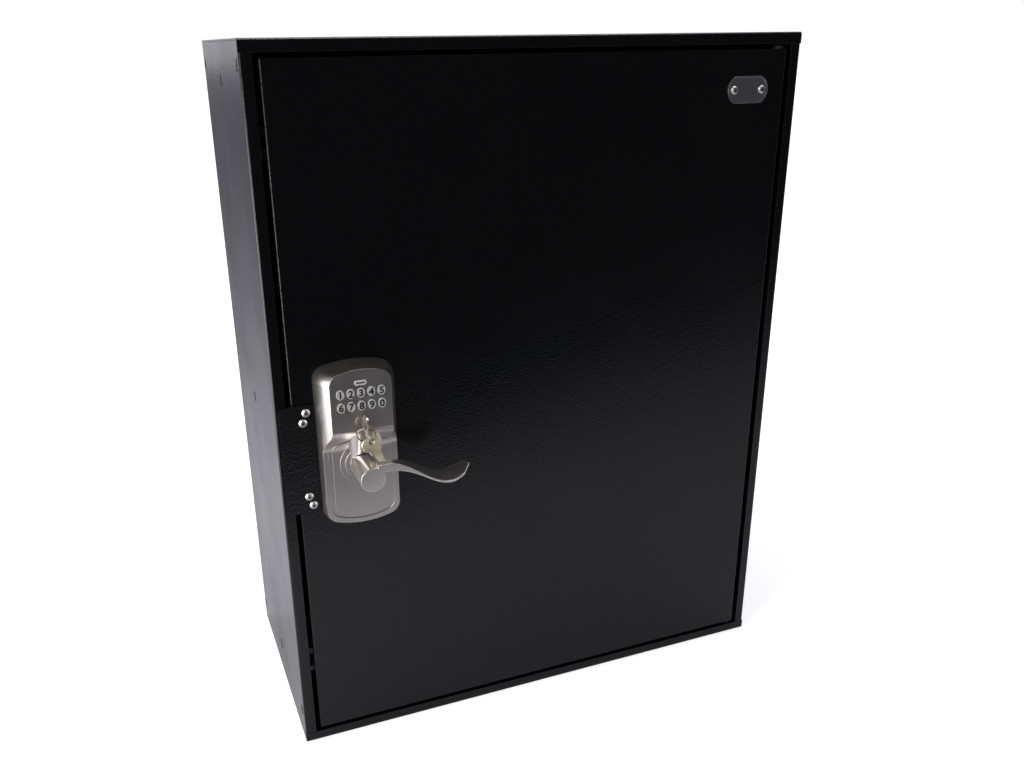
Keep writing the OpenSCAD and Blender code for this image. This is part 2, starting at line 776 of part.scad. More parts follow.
// The outside of the casting, whose walls curve in towards its face
module casting() {
    skin = 0.2;
    steps = 4;
    intersection() {
        translate([lock_x, 0, 0]) hull() for (i = [0:steps]) {
            part = i / steps;
            in = wall_in(head_d * part);
            y = front - max(head_d * part, skin);
            pull(y, y + skin) outline(esc_w - 2 * in, esc_z0 + in, esc_z1 - head_drop * part,
                esc_corner + (face_corner - esc_corner) * part);
        }
        translate([lock_x - esc_w, 0, 0]) rotate([90, 0, 90]) linear_extrude(2 * esc_w) side_view();
    }
}

// The groove that frames the panel and follows the shoulder
module groove() {
    edge = low_in + inset_edge;
    in_edge = edge + inset_w;
    top = step_z - inset_down;
    difference() {
        translate([lock_x, 0, 0]) pull(head_y - 1, low_y + inset_d) difference() {
            outline(esc_w - 2 * edge, esc_z0 + edge, top, face_corner);
            outline(esc_w - 2 * in_edge, esc_z0 + in_edge, top - inset_w, face_corner - inset_w);
        }
        translate([0, inset_d, 0]) casting();
    }
}

// Half round keel that runs from under the key cylinder down to the boss
module keel() {
    rise = step_z - lever_z;
    lean = atan((head_d - boss_d) / rise);
    intersection() {
        translate([lock_x, boss_y + boss_r, lever_z]) rotate([lean, 0, 0])
            translate([0, 0, -8]) cylinder(r = boss_r, h = rise + 14);
        block(lock_x - boss_r, lock_x + boss_r, head_y, front - 1, lever_z, step_z + 3);
    }
}

module rings() {
    bar_y(ring_r, lock_x, lever_z, low_y - ring_t, low_y + 1);
    bar_y(ring_in_r, lock_x, lever_z, low_y - 2 * ring_t, low_y + 1);
    bar_y(boss_r, lock_x, lever_z, boss_y, low_y + 1);
}

// Hollow of the casting, open at the back
module esc_hollow() {
    edge = low_in + esc_wall;
    translate([lock_x, 0, 0]) {
        pull(low_y + esc_wall + 2, front + 1)
            outline(esc_w - 2 * edge, esc_z0 + edge, cav_z1, face_corner - esc_wall);
        pull(cav_y, front) polygon([[-cav_w / 2, cav_z0], [cav_w / 2, cav_z0], [cav_w / 2, cav_z1 - 10],
            [cav_w / 2 - 12, cav_z1], [-cav_w / 2 + 12, cav_z1], [-cav_w / 2, cav_z1 - 10]]);
    }
}

// Button number i, counted from the upper left
function button_x(i) = lock_x + (i % 5 - 2) * key_pitch_x;
function button_z(i) = key_z - floor(i / 5) * key_pitch_z;

module escutcheon() {
    color("silver") {
        difference() {
            union() {
                difference() { casting(); groove(); }
                keel();
                rings();
            }
            esc_hollow();
            for (i = [0:9]) translate([button_x(i), 0, button_z(i)]) pull(head_y - 1, cav_y + 1)
                polygon(oval_pts(key_w + 2 * key_gap, key_h + 2 * key_gap));
            translate([lock_x, 0, key_z + lens_up]) pull(head_y - 1, head_y + 0.8)
                round_rect(lens_w, lens_h, lens_h / 2 - 0.01);
            bar_y(cyl_r, lock_x, cyl_z, head_y - 1, front + 1);
            // Seat of the lever's hub in the foot of the keel
            bar_y(hub_r + hub_gap, lock_x, lever_z, hub_y, boss_y);
            bar_y(bush_r, lock_x, lever_z, boss_y + 2, front + 1);
            bar_y(shank_r + 0.4, lock_x, lever_z, boss_y - 1, front + 1);
            // Room for the guard plate under the left edge
            block(lock_x - esc_w, lock_x - bush_r - 6, front - guard_t - 0.1, front + 1,
                guard_z - guard_h / 2 - 0.3, guard_z + guard_h / 2 + 0.3);
        }
        // Posts that the mounting bolts screw into
        for (z = bolt_zs) difference() {
            bar_y(mb_r + 2.5, lock_x, z, low_y + esc_wall + 1, front);
            bar_y(mb_r, lock_x, z, low_y + esc_wall + 4, front + 1);
        }
    }
}

module blank_lens() {
    color("lightgray") translate([lock_x, 0, key_z + lens_up]) pull(head_y - 0.3, head_y + 0.8)
        round_rect(lens_w - 0.2, lens_h - 0.2, lens_h / 2 - 0.11);
}

module button(i) {
    wider = 2 * key_flange + 0.4;
    color("whitesmoke") translate([button_x(i), 0, button_z(i)]) {
        pull(head_y - key_proud, key_back) polygon(oval_pts(key_w, key_h));
        pull(key_back - key_seat_t, key_back) polygon(oval_pts(key_w + wider, key_h + wider));
    }
}

module button_membrane() {
    color("dimgray") translate([lock_x, 0, 0]) pull(mem_y, mem_y + mem_t)
        translate([-cav_w / 2, cav_z0]) square([cav_w, cav_z1 - 10 - cav_z0]);
}

module circuit_board() {
    color("green") translate([lock_x, 0, 0]) pull(mem_y + mem_t, mem_y + mem_t + board_t)
        translate([-cav_w / 2, cav_z0]) square([cav_w, cav_z1 - 10 - cav_z0]);
}

module keyway(clear) {
    w = blade_t + 2 * clear;
    h = blade_h + 2 * clear;
    block(lock_x - w / 2, lock_x + w / 2, key_bow_y - 1, key_bow_y + blade_len + 2,
        cyl_z - h / 2, cyl_z + h / 2);
}

module lock_cylinder() {
    color("silver") difference() {
        bar_y(cyl_r, lock_x, cyl_z, head_y - cyl_proud, head_y - cyl_proud + cyl_len);
        bar_y(plug_r + plug_clear, lock_x, cyl_z, head_y - cyl_proud - 1, head_y - cyl_proud + cyl_len + 1);
    }
}

module key_plug() {
    color("silver") difference() {
        bar_y(plug_r, lock_x, cyl_z, head_y - cyl_proud - plug_proud, head_y - cyl_proud + cyl_len);
        keyway(0.1);
    }
}

// A cut key in the plane of X = 0, with its shoulder at the origin and its bow towards -Y
module key_shape() {
    tip = 4;
    cuts = 5;
    cut_pitch = (blade_len - tip - 4) / cuts;
    head = bow_len * 0.72;
    rotate([90, 0, 90]) translate([0, 0, -blade_t / 2]) linear_extrude(blade_t) difference() {
        union() {
            translate([-1, -blade_h / 2]) square([blade_len - tip + 1, blade_h]);
            translate([blade_len - tip - 0.1, 0])
                polygon([[0, -blade_h / 2], [tip + 0.1, -blade_h / 4], [0, blade_h / 2]]);
            translate([-bow_len + head / 2, 0]) round_rect(head, bow_w, head * 0.4);
            translate([-bow_len / 2, -bow_w * 0.31]) square([bow_len / 2, bow_w * 0.62]);
        }
        translate([-bow_hole, 0]) circle(bow_hole_r);
        for (i = [0:cuts - 1]) translate([5 + i * cut_pitch, blade_h / 2 + 0.6 - (i * 7 % 3) * 0.5])
            rotate(45) square(2.4, center = true);
    }
}

module cylinder_key() {
    color("gold") translate([lock_x, key_bow_y, cyl_z]) key_shape();
}

// Places what hangs from the hole of the key in the lock, with the ring's middle at the origin
module hang() {
    translate([lock_x, bow_hole_y, cyl_z]) rotate([hang_back, 0, 0]) rotate([0, 0, -ring_turn])
        translate([0, 0, -loop_drop - loop_r]) children();
}

module key_ring() {
    color("silver") hang() rotate([90, 0, 0])
        rotate_extrude($fn = 40) translate([loop_r, 0]) circle(loop_wire, $fn = 16);
}

module spare_key() {
    color("gold") hang() rotate([0, -loop_angle, 0]) translate([0, 0, -loop_r])
        rotate([0, loop_angle - spare_lean, 0]) rotate([0, 0, -spare_turn]) rotate([-90, 0, 0])
        translate([0, bow_hole, 0]) key_shape();
}

// A bush with a shank bore, from y0 to y1
module bush(y0, y1) {
    difference() {
        bar_y(bush_r, lock_x, lever_z, y0, y1);
        bar_y(shank_r + shank_clear, lock_x, lever_z, y0 - 1, y1 + 1);
    }
}

module outer_bush() { color("white") bush(boss_y + 2, front - 1); }

// A blade that waves up, down and up again, with its plan cut round at the end
module arm() {
    n = 26;
    ss = [for (i = [0:n]) arm_s0 - 10 + (arm_len - arm_s0 + 10) * i / n];
    intersection() {
        pull(-arm_d, 0) polygon(concat(
            [for (s = ss) [s, arm_top(max(s, arm_s0))]],
            [for (i = [n:-1:0]) let (s = ss[i]) [s, arm_top(max(s, arm_s0)) - arm_thick(s)]]));
        translate([0, 0, -50]) linear_extrude(100) polygon(concat(
            [[0, -arm_d - 1], [arm_len - 8, -arm_d - 1], [arm_len, -arm_d + 7], [arm_len, -arm_d + 9]],
            [for (i = [n:-1:0]) [ss[i], -arm_d + arm_deep(ss[i])]], [[0, -arm_d + arm_root_d]]));
    }
}

module square_hole(y0, y1) {
    h = spindle_w / 2;
    block(lock_x - h, lock_x + h, y0, y1, lever_z - h, lever_z + h);
}

// A lever whose hub ends at y = 0, with its shank behind it
module lever(hub_len, shank_len) {
    bar_y(hub_r, 0, 0, 0, hub_len);
    bar_y(shank_r, 0, 0, hub_len - 1, hub_len + shank_len);
    translate([0, arm_d, 0]) arm();
}

module outer_lever() {
    color("silver") difference() {
        translate([lock_x, hub_y, lever_z]) lever(hub_front - boss_d - 0.4, boss_d);
        square_hole(hub_y + 14, front + 5);
    }
}

module inside_lever() {
    color("silver") difference() {
        translate([lock_x, in_hub_y, lever_z]) mirror([0, 1, 0]) lever(in_hub - 0.4, in_wall + 8);
        square_hole(box_back, in_hub_y - 12);
    }
}

module spindle() { color("silver") square_hole(hub_y + 14, in_hub_y - 12); }

module latch_cam() {
    color("dimgray") difference() {
        bar_y(6.8, lock_x, lever_z, latch_y - 5, latch_y + 5);
        square_hole(latch_y - 6, latch_y + 6);
    }
}

// End of the latch housing behind the spindle
latch_end = lock_x + 34;

module latch_housing() {
    color("silver") difference() {
        bar_x(latch_r, latch_y, lever_z, box_x0, latch_end);
        bar_x(latch_bore_r, latch_y, lever_z, box_x0 - 1, latch_end - 2);
        bar_y(spindle_w * 0.71 + 0.6, lock_x, lever_z, latch_y - latch_r - 1, latch_y + latch_r + 1);
    }
}

module latch_faceplate() {
    color("silver") difference() {
        block(face_x, box_x0, latch_y - face_w / 2, latch_y + face_w / 2,
            lever_z - face_h / 2, lever_z + face_h / 2);
        block(face_x - 1, box_x0 + 1, latch_y - (bolt_d + bolt_clear) / 2, latch_y + (bolt_d + bolt_clear) / 2,
            lever_z - bolt_h / 2 - bolt_clear, lever_z + bolt_h / 2 + bolt_clear);
    }
}

module latch_bolt() {
    bar_x0 = bolt_tip + bolt_len;
    bar_x1 = lock_x + 12;
    color("silver") {
        difference() {
            intersection() {
                bar_x(bolt_r, latch_y, lever_z, bolt_tip, bar_x0);
                block(bolt_tip, bar_x0, latch_y - bolt_d / 2, latch_y + bolt_d / 2,
                    lever_z - bolt_h / 2, lever_z + bolt_h / 2);
            }
            // The slope that rides over the strike as the door shuts
            translate([0, 0, lever_z - bolt_h]) linear_extrude(2 * bolt_h) polygon([
                [bolt_tip - 1, latch_y - bolt_d / 2 + 2], [bolt_tip, latch_y - bolt_d / 2 + 2],
                [bolt_tip + bolt_d - 2, latch_y + bolt_d / 2], [bolt_tip + bolt_d - 2, latch_y + bolt_d],
                [bolt_tip - 1, latch_y + bolt_d]]);
        }
        // Straps past the cam, and the bar that it pulls
        for (s = [-1, 1]) {
            z = lever_z + s * 7.8;
            block(bar_x0 - 1, bar_x1, latch_y - 3, latch_y + 3, z - 0.8, z + 0.8);
        }
        block(bar_x1 - 2, bar_x1, latch_y - 3, latch_y + 3, lever_z - 7.8, lever_z + 7.8);
    }
}

// Opening behind the battery cover, and the gap of the cover's lip in it
cover_rim = 4;
cover_fit = 0.2;
cover_t = 1.5;
thumb_r = 3;
thumb_disc_r = 7;

module inside_plate() {
    h = esc_z1 - esc_z0;
    color("silver") difference() {
        translate([lock_x, 0, (esc_z0 + esc_z1) / 2]) difference() {
            pull(box_back, in_front) round_rect(in_w, h, 12);
            pull(box_back - 1, in_front - in_wall) round_rect(in_w - 2 * in_wall, h - 2 * in_wall, 10);
        }
        block(lock_x - cover_w / 2 + cover_rim, lock_x + cover_w / 2 - cover_rim,
            in_front - in_wall - 1, in_front + 1, cover_z0 + cover_rim, cover_z1 - cover_rim);
        bar_y(bush_r, lock_x, lever_z, in_front - in_wall - 1, in_front + 1);
        bar_y(thumb_r + shank_clear, lock_x, cyl_z, in_front - in_wall - 1, in_front + 1);
        bolt_holes(mb_r, in_front - in_wall - 1, in_front + 1);
    }
}

module battery_cover() {
    lip = 2 * (cover_rim + cover_fit);
    color("silver") translate([lock_x, 0, (cover_z0 + cover_z1) / 2]) {
        pull(in_front, in_front + cover_t) round_rect(cover_w, cover_h, 6);
        pull(in_front - in_wall, in_front + 0.1) square([cover_w - lip, cover_h - lip], center = true);
    }
}

module battery() {
    w = 48;
    t = 17.5;
    h = 26;
    z1 = cover_z1 - cover_rim;
    color("dimgray") block(lock_x - w / 2, lock_x + w / 2, box_back, box_back + t, z1 - h, z1);
}

module inner_bush() { color("white") bush(in_front - in_wall - 4, in_front + 0.2); }

module thumb_turn() {
    color("silver") {
        bar_y(thumb_r, lock_x, cyl_z, in_front - in_wall - 4, in_front + 3);
        bar_y(thumb_disc_r, lock_x, cyl_z, in_front + 0.3, in_front + 3);
        block(lock_x - 2, lock_x + 2, in_front + 2, in_front + 13,
            cyl_z - thumb_len / 2, cyl_z + thumb_len / 2);
    }
}

module mounting_bolts() {
    color("silver") for (z = bolt_zs) {
        bar_y(mb_r, lock_x, z, low_y + esc_wall + 4, in_front);
        bar_y(mb_r + 2, lock_x, z, in_front, in_front + 2);
    }
}

top_panel();
bottom_panel();
left_side_panel();
right_side_panel();
back_panel();
hook_panel();
key_hooks();
drop_ramp();
strike_bracket();
door_stops();
door_bumpers();
pivot_bracket_top();
pivot_bracket_bottom();
pivot_pins();
pivot_washers();
door_pan();
door_stiffener();
lock_box();
pivot_blocks();
guard_plate();
guard_screws();
badge_plate();
badge_screws();
escutcheon();
blank_lens();
button(0);  // button_1
button(1);  // button_2
button(2);  // button_3
button(3);  // button_4
button(4);  // button_5
button(5);  // button_6
button(6);  // button_7
button(7);  // button_8
button(8);  // button_9
button(9);  // button_0
button_membrane();
circuit_board();
lock_cylinder();
key_plug();
cylinder_key();
key_ring();
spare_key();
outer_bush();
outer_lever();
spindle();
latch_cam();
latch_housing();
latch_faceplate();
latch_bolt();
inside_plate();
battery_cover();
battery();
inner_bush();
inside_lever();
thumb_turn();
mounting_bolts();
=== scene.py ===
"""Looks of the key drop box: a black steel key cabinet with a keypad lever lock in its door."""

import json
import logging
import math
from dataclasses import dataclass, field
from enum import Enum

import bmesh
import bpy
from mathutils import Matrix, Vector

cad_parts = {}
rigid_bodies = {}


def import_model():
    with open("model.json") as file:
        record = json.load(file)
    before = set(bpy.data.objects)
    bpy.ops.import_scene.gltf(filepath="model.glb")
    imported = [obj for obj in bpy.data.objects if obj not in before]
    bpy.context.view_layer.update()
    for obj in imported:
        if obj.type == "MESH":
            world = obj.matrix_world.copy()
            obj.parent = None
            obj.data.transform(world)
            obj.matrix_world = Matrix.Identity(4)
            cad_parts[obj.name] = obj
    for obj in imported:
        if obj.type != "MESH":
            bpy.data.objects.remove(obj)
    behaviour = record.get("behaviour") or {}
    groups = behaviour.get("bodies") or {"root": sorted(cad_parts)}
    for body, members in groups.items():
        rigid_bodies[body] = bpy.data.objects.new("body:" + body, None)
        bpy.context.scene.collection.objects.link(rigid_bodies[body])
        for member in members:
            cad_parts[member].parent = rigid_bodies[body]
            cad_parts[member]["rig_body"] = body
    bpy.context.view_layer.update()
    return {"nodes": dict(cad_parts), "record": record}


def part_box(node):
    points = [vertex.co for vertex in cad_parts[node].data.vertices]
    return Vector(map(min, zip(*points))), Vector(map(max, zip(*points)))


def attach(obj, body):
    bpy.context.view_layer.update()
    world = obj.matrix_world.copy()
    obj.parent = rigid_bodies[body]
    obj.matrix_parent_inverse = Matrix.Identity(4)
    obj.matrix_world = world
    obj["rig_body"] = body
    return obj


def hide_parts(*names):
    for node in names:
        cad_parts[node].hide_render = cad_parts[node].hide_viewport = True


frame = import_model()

log = logging.getLogger("key_drop_box")

MM = 0.001
IMAGE_W = 1024
IMAGE_H = 761

# Most values of a noise texture lie between these two
NOISE_LOW = 0.3
NOISE_HIGH = 0.7


def linear(code: str) -> tuple[float, float, float, float]:
    """Turn an sRGB hex colour into linear RGBA.

    Args:
        code: six hex digits, with or without a leading hash.

    Returns:
        Red, green, blue and alpha, each from 0 to 1.
    """
    digits = code.lstrip("#")
    parts = [int(digits[i:i + 2], 16) / 255 for i in (0, 2, 4)]
    red, green, blue = (p / 12.92 if p <= 0.04045 else ((p + 0.055) / 1.055) ** 2.4 for p in parts)
    return red, green, blue, 1.0


def add_node(tree: bpy.types.NodeTree, kind: str, settings: dict | None = None,
             inputs: dict | None = None) -> bpy.types.Node:
    """Add one node with its settings, values and links.

    Args:
        tree: the node tree that takes the node.
        kind: the node's type name.
        settings: attributes of the node.
        inputs: each input's value, or the socket that is linked to it.

    Returns:
        The new node.
    """
    node = tree.nodes.new(kind)
    for key, value in (settings or {}).items():
        setattr(node, key, value)
    for key, value in (inputs or {}).items():
        if isinstance(value, bpy.types.NodeSocket):
            tree.links.new(value, node.inputs[key])
        else:
            node.inputs[key].default_value = value
    return node


def new_material(name: str) -> tuple[bpy.types.Material, bpy.types.NodeTree, bpy.types.NodeSocket]:
    """Make an empty node material.

    Args:
        name: the material's name.

    Returns:
        The material, its node tree and the place on the object.
    """
    material = bpy.data.materials.new(name)
    material.use_nodes = True
    tree = material.node_tree
    tree.nodes.clear()
    return material, tree, add_node(tree, "ShaderNodeTexCoord").outputs["Object"]


def noise(tree: bpy.types.NodeTree, place: bpy.types.NodeSocket, per_m: float, detail: float,
          roughness: float) -> bpy.types.NodeSocket:
    """Add a noise texture.

    Args:
        tree: the node tree.
        place: where the noise is looked up.
        per_m: how many grains it has in a metre.
        detail: how many finer layers it has.
        roughness: how strong the finer layers are.

    Returns:
        Its value.
    """
    return add_node(tree, "ShaderNodeTexNoise", inputs={
        "Vector": place, "Scale": per_m, "Detail": detail, "Roughness": roughness}).outputs["Fac"]


def two_tones(tree: bpy.types.NodeTree, share: bpy.types.NodeSocket, first: str,
              second: str) -> bpy.types.NodeSocket:
    """Mix two colours.

    Args:
        tree: the node tree.
        share: how much of the second colour is taken.
        first: the first colour, as sRGB hex.
        second: the second colour, as sRGB hex.

    Returns:
        The mixed colour.
    """
    return add_node(tree, "ShaderNodeMix", {"data_type": "RGBA"}, {
        "Factor": share, 6: linear(first), 7: linear(second)}).outputs[2]


def spread_noise(tree: bpy.types.NodeTree, value: bpy.types.NodeSocket, low: float,
                 high: float) -> bpy.types.NodeSocket:
    """Stretch the middle range of a noise over a range of its own.

    Args:
        tree: the node tree.
        value: the noise.
        low: the result for low noise.
        high: the result for high noise.

    Returns:
        The stretched value.
    """
    return add_node(tree, "ShaderNodeMapRange", inputs={
        "Value": value, "From Min": NOISE_LOW, "From Max": NOISE_HIGH, "To Min": low,
        "To Max": high}).outputs["Result"]


def bumped(tree: bpy.types.NodeTree, height: bpy.types.NodeSocket, height_mm: float,
           under: bpy.types.NodeSocket | None = None) -> bpy.types.NodeSocket:
    """Tilt the surface by a height.

    Args:
        tree: the node tree.
        height: the height, from 0 to 1.
        height_mm: what a height of 1 stands for.
        under: the surface below it, if that is tilted too.

    Returns:
        The tilted normal.
    """
    inputs = {"Height": height, "Distance": height_mm * MM, "Strength": 1.0}
    if under is not None:
        inputs["Normal"] = under
    return add_node(tree, "ShaderNodeBump", inputs=inputs).outputs["Normal"]


def close_surface(tree: bpy.types.NodeTree, inputs: dict) -> None:
    """Add the shader and the output.

    Args:
        tree: the node tree.
        inputs: the shader's values and links.
    """
    shader = add_node(tree, "ShaderNodeBsdfPrincipled", inputs=inputs)
    add_node(tree, "ShaderNodeOutputMaterial", inputs={"Surface": shader.outputs["BSDF"]})


class Grain(Enum):
    """Direction in which a metal was brushed."""

    EVEN = (1.0, 1.0, 1.0)
    ALONG_X = (0.06, 1.0, 1.0)
    ALONG_Z = (1.0, 1.0, 0.06)


@dataclass(frozen=True)
class PowderCoat:
    """Polyester powder coat, sprayed and baked, which flows out to a fine orange peel."""

    name: str = "black_powder_coat"
    colour: str = "#030304"
    worn: str = "#060607"
    roughness: float = 0.2
    peel_mm: float = 1.9
    grit_mm: float = 1.0
    height_mm: float = 0.2
    ior: float = 1.4
    grit_share: float = 0.4
    clouds_per_m: float = 9.0
    smoother: float = 0.04
    duller: float = 0.05

    def material(self) -> bpy.types.Material:
        """Build the node material.

        Returns:
            The finished material.
        """
        material, tree, place = new_material(self.name)
        # The real peel is about 1 mm across, which is under a pixel, so it is drawn coarser
        peel = noise(tree, place, 1 / (self.peel_mm * MM), 1.0, 0.5)
        grit = noise(tree, place, 1 / (self.grit_mm * MM), 2.0, 0.6)
        # The film is thicker in places, which makes its shine drift slowly over a panel
        cloud = noise(tree, place, self.clouds_per_m, 3.0, 0.55)
        shine = spread_noise(tree, cloud, self.roughness - self.smoother, self.roughness + self.duller)
        coarse = bumped(tree, peel, self.height_mm)
        fine = bumped(tree, grit, self.height_mm * self.grit_share, coarse)
        close_surface(tree, {
            "Base Color": two_tones(tree, grit, self.colour, self.worn), "Roughness": shine,
            "Normal": fine, "IOR": self.ior})
        return material


@dataclass(frozen=True)
class Metal:
    """A plated, cast or cut metal with fine marks of how its surface was made."""

    name: str
    colour: str
    roughness: float
    marks: str
    grain: Grain = Grain.EVEN
    mark_mm: float = 1.2
    height_mm: float = 0.01
    spread: float = 0.05
    edge_mm: float = 0.0
    touches_per_m: float = 60.0
    edge_samples: int = 6

    def material(self) -> bpy.types.Material:
        """Build the node material.

        Returns:
            The finished material.
        """
        material, tree, place = new_material(self.name)
        along = add_node(tree, "ShaderNodeMapping", inputs={"Vector": place, "Scale": self.grain.value})
        mark = noise(tree, along.outputs["Vector"], 1 / (self.mark_mm * MM), 4.0, 0.6)
        # Hands dull the metal in patches of about 2 cm
        handled = noise(tree, place, self.touches_per_m, 2.0, 0.5)
        shine = spread_noise(tree, handled, self.roughness - self.spread, self.roughness + self.spread)
        edge = None
        if self.edge_mm > 0:
            # A die casting is tumbled, so light runs along its edges as soft bright lines
            edge = add_node(tree, "ShaderNodeBevel", {"samples": self.edge_samples},
                            {"Radius": self.edge_mm * MM}).outputs["Normal"]
        close_surface(tree, {
            "Base Color": two_tones(tree, mark, self.colour, self.marks), "Roughness": shine,
            "Metallic": 1.0, "Normal": bumped(tree, mark, self.height_mm, edge)})
        return material


@dataclass(frozen=True)
class Moulded:
    """A moulded plastic or rubber, or a printed or soldered surface, with a fine spark texture."""

    name: str
    colour: str
    shade: str
    roughness: float
    grain_mm: float = 0.8
    height_mm: float = 0.01
    ior: float = 1.5
    glow_through: float = 0.0
    spread: float = 0.05
    glow_mm: float = 1.5

    def material(self) -> bpy.types.Material:
        """Build the node material.

        Returns:
            The finished material.
        """
        material, tree, place = new_material(self.name)
        grain = noise(tree, place, 1 / (self.grain_mm * MM), 3.0, 0.6)
        shine = add_node(tree, "ShaderNodeMapRange", inputs={
            "Value": grain, "To Min": self.roughness - self.spread,
            "To Max": self.roughness + self.spread}).outputs["Result"]
        close_surface(tree, {
            "Base Color": two_tones(tree, grain, self.colour, self.shade), "Roughness": shine,
            "IOR": self.ior, "Normal": bumped(tree, grain, self.height_mm),
            "Subsurface Weight": self.glow_through, "Subsurface Scale": self.glow_mm * MM})
        return material


# Deep black with a wet shine, which breaks a reflection into fine speckles
POWDER = PowderCoat()
# The same coat sprayed thicker on the small plate, so it looks greyer and coarser
GUARD_COAT = PowderCoat("guard_powder_coat", "#060607", "#0b0b0c", 0.26, 2.2, 1.0, 0.34)
# Warm grey with a silky shine, and bright lines along its rounded edges
NICKEL = Metal("satin_nickel_casting", "#bbb5b1", 0.33, "#b0aaa6", Grain.EVEN, 0.6, 0.003, 0.02, 0.8)
# The same plating as the casting, painted much brighter as painted light that stands in for the light its arm
# lacks, with soft streaks along the arm
LIT_NICKEL_LEVER = Metal("satin_nickel_lever_painted_bright", "#f3ede8", 0.3, "#e8e2dd", Grain.ALONG_X, 0.6, 0.003, 0.02, 0.6)
# Cold light grey, slightly blotched by the bath
ZINC = Metal("zinc_plate", "#b6b8bb", 0.32, "#9a9da2", Grain.EVEN, 1.5, 0.012)
# Nearly black with a dull oily shine
BLACKENED = Metal("blackened_steel", "#1c1c1d", 0.4, "#242425", Grain.EVEN, 1.0, 0.006)
# Pale grey, with a small highlight on each dome
SCREW = Metal("bright_steel_screw", "#d6d4d2", 0.34, "#c6c4c2", Grain.EVEN, 0.6, 0.004, 0.03)
# Drawn wire with a thin hard glint along it
RING_WIRE = Metal("key_ring_steel", "#8c8880", 0.24, "#7a766e", Grain.EVEN, 0.6, 0.003, 0.03)
# Dark satin grey, brushed along its length
BADGE = Metal("satin_badge_aluminium", "#a2a3a5", 0.36, "#94959a", Grain.ALONG_X, 0.4, 0.006, 0.03)
# Pale cream gold, dulled by the cutter and by pockets
KEY_METAL = Metal("nickel_silver_key", "#f6ead0", 0.48, "#ebdebf", Grain.ALONG_Z, 0.4, 0.006, 0.03)
# Greyer than the spare key, since its plating is still whole
PLATED_KEY = Metal("nickel_plated_key", "#cfc6bb", 0.36, "#c2b9ad", Grain.ALONG_Z, 0.4, 0.006, 0.03)
# Turned face, a little brighter than the casting around it
CYLINDER = Metal("cylinder_face_nickel", "#b3ada6", 0.3, "#a59f98", Grain.EVEN, 0.4, 0.004, 0.03)
# Milky grey, which lets light in at its rim
BUTTON = Moulded("button_silicone", "#a9a8a5", "#9d9c99", 0.3, 0.9, 0.004, 1.45, 0.1)
# Flat black print with no shine of its own, which is also laid as painted shade in the screw sockets
INK_AND_SOCKET_SHADE = Moulded("button_ink_and_socket_shade", "#0c0c0c", "#121212", 0.5)
# Clear pale rim with a sharp shine
LENS = Moulded("lens_acrylic", "#c4c3c1", "#b8b7b5", 0.16, 0.9, 0.003, 1.49, 0.1)
# Dark grey painted shade, which stands for the dark space seen through the clear lens
LENS_SHADE = Moulded("lens_painted_shade", "#5b5856", "#504d4b", 0.2, 0.9, 0.003, 1.49)
# Off-white and waxy
NYLON = Moulded("nylon_bush", "#dcdad2", "#d0cec6", 0.5, 0.8, 0.01, 1.53, 0.1)
# Charcoal with hardly any shine
RUBBER = Moulded("black_rubber", "#141414", "#1b1b1b", 0.75, 0.7, 0.03, 1.52)
# Deep green lacquer with a clear shine
BOARD = Moulded("board_solder_mask", "#0d4a26", "#0a3a1e", 0.35, 1.6, 0.01, 1.5)
# Smooth shrunk film, nearly black
BATTERY = Moulded("battery_jacket", "#17181c", "#1d1f24", 0.3, 1.2, 0.006, 1.5)


